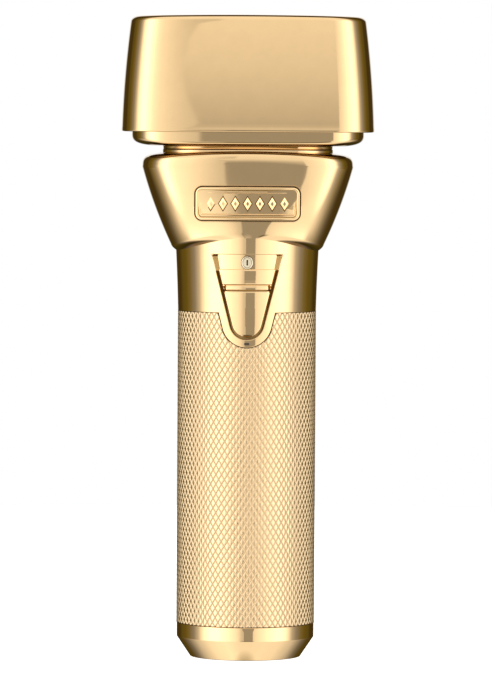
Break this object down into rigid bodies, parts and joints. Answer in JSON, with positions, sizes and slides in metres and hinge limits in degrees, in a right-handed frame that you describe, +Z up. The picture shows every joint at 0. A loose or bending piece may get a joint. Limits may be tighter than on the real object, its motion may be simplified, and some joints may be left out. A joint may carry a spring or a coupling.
{
  "type": "foil shaver",
  "caption": "Cordless foil shaver with a knurled metal grip, flared housing with a sliding switch, sprung foil head and lift-off cap.",
  "frame": {"origin": "centre of the end cap's bottom face, on which the shaver stands", "axes": "+Z up along the grip towards the head, -Y out of the front with the switch and nameplate, +X to the right seen from the front"},
  "size_m": [0.0624, 0.038, 0.158],
  "materials": {
    "polished_gold": "rose gold plate on die-cast zinc, mirror polished",
    "badge_gold": "rose gold plate, satin field",
    "knurled_gold": "rose gold plate on a diamond knurl",
    "moulded_black": "fine matt moulding",
    "black_rubber": "soft matt",
    "contact_nickel": "nickel plate",
    "screw_steel": "zinc plate",
    "battery_wrap": "heat-shrink sleeve",
    "battery_wire": "silicone insulation",
    "jack_wire": "silicone insulation",
    "motor_wire": "silicone insulation",
    "board_laminate": "solder mask over glass laminate",
    "component_body": "epoxy package",
    "switch_steel": "folded tinplate",
    "led_white": "moulded lens",
    "clear_pipe": "smoked clear moulding",
    "white_acetal": "natural acetal",
    "motor_steel": "drawn and nickel plated",
    "magnet_ferrite": "ground ferrite",
    "sintered_bronze": "sintered, oiled",
    "shaft_steel": "ground",
    "winding_copper": "enamelled windings on steel laminations",
    "commutator_copper": "turned copper",
    "blade_steel": "ground edges",
    "foil_gold": "thin perforated foil, titanium nitride tone",
    "spring_steel": "drawn wire"
  },
  "bodies": {
    "handle": {"end_cap": "polished_gold", "end_seal": "black_rubber", "charge_socket": "moulded_black", "socket_pin": "contact_nickel", "grip_sleeve": "knurled_gold", "chassis_front": "moulded_black", "chassis_rear": "moulded_black", "chassis_screws": "screw_steel", "battery": "battery_wrap", "battery_tabs": "contact_nickel", "battery_leads": "battery_wire", "jack_leads": "jack_wire", "motor_leads": "motor_wire", "circuit_board": "board_laminate", "board_components": "component_body", "slide_switch": "switch_steel", "led": "led_white", "light_pipe": "clear_pipe", "upper_housing": "polished_gold", "badge": "badge_gold", "badge_studs": "badge_gold", "motor_can": "motor_steel", "motor_magnets": "magnet_ferrite", "motor_endbell": "moulded_black", "motor_bushes": "sintered_bronze", "motor_damper": "black_rubber", "motor_bracket": "motor_steel", "motor_screws": "screw_steel", "neck_collar": "polished_gold", "neck_gasket": "black_rubber", "head_base": "polished_gold", "head_screws": "screw_steel", "guide_rods": "shaft_steel", "release_spring_left": "spring_steel", "release_spring_right": "spring_steel"},
    "switch": {"switch_button": "polished_gold", "switch_shuttle": "moulded_black", "switch_lever": "white_acetal"},
    "rotor": {"motor_shaft": "shaft_steel", "rotor_core": "winding_copper", "commutator": "commutator_copper", "eccentric_cam": "shaft_steel"},
    "drive_yoke": {"oscillator": "white_acetal", "cutter_spring_front": "spring_steel", "cutter_spring_rear": "spring_steel"},
    "cutter_front": {"cutter_carrier_front": "moulded_black", "cutter_blades_front": "blade_steel"},
    "cutter_rear": {"cutter_carrier_rear": "moulded_black", "cutter_blades_rear": "blade_steel"},
    "foil_head": {"foil_frame": "moulded_black", "foil_springs_front": "spring_steel", "foil_springs_rear": "spring_steel"},
    "foil_block_front": {"foil_carrier_front": "moulded_black", "foil_front": "foil_gold"},
    "foil_block_rear": {"foil_carrier_rear": "moulded_black", "foil_rear": "foil_gold"},
    "release_left": {"release_button_left": "moulded_black"},
    "release_right": {"release_button_right": "moulded_black"},
    "cap": {"protective_cap": "polished_gold"}
  },
  "joints": [
    {"name": "switch_slide", "type": "slide", "parent": "handle", "child": "switch", "axis": [0, 0, 1], "range_m": [0, 0.0032]},
    {"name": "rotor_spin", "type": "hinge", "parent": "handle", "child": "rotor", "pos_m": [0, 0.003, 0.09], "axis": [0, 0, 1], "continuous": true},
    {"name": "yoke_slide", "type": "slide", "parent": "handle", "child": "drive_yoke", "axis": [1, 0, 0], "range_m": [-0.001, 0.001]},
    {"name": "foil_head_lift", "type": "slide", "parent": "handle", "child": "foil_head", "axis": [0, 0, 1], "range_m": [0, 0.03]},
    {"name": "cap_lift", "type": "slide", "parent": "foil_head", "child": "cap", "axis": [0, 0, 1], "range_m": [0, 0.04]},
    {"name": "foil_front_float", "type": "slide", "parent": "foil_head", "child": "foil_block_front", "axis": [0, 0, 1], "range_m": [-0.001, 0], "stiffness_N_per_m": 600, "springref_m": 0.001, "deforming": ["foil_springs_front"]},
    {"name": "cutter_front_float", "type": "slide", "parent": "drive_yoke", "child": "cutter_front", "axis": [0, 0, 1], "range_m": [-0.001, 0], "stiffness_N_per_m": 400, "springref_m": 0.001, "deforming": ["cutter_spring_front"]},
    {"name": "foil_rear_float", "type": "slide", "parent": "foil_head", "child": "foil_block_rear", "axis": [0, 0, 1], "range_m": [-0.001, 0], "stiffness_N_per_m": 600, "springref_m": 0.001, "deforming": ["foil_springs_rear"]},
    {"name": "cutter_rear_float", "type": "slide", "parent": "drive_yoke", "child": "cutter_rear", "axis": [0, 0, 1], "range_m": [-0.001, 0], "stiffness_N_per_m": 400, "springref_m": 0.001, "deforming": ["cutter_spring_rear"]},
    {"name": "release_left_press", "type": "slide", "parent": "handle", "child": "release_left", "axis": [1, 0, 0], "range_m": [0, 0.001], "stiffness_N_per_m": 1500, "springref_m": -0.0005, "deforming": ["release_spring_left"]},
    {"name": "release_right_press", "type": "slide", "parent": "handle", "child": "release_right", "axis": [-1, 0, 0], "range_m": [0, 0.001], "stiffness_N_per_m": 1500, "springref_m": -0.0005, "deforming": ["release_spring_right"]}
  ],
  "couplings": [
    {"joint": "cutter_front_float", "follows": "foil_front_float", "ratio": 1},
    {"joint": "cutter_rear_float", "follows": "foil_rear_float", "ratio": 1}
  ]
}
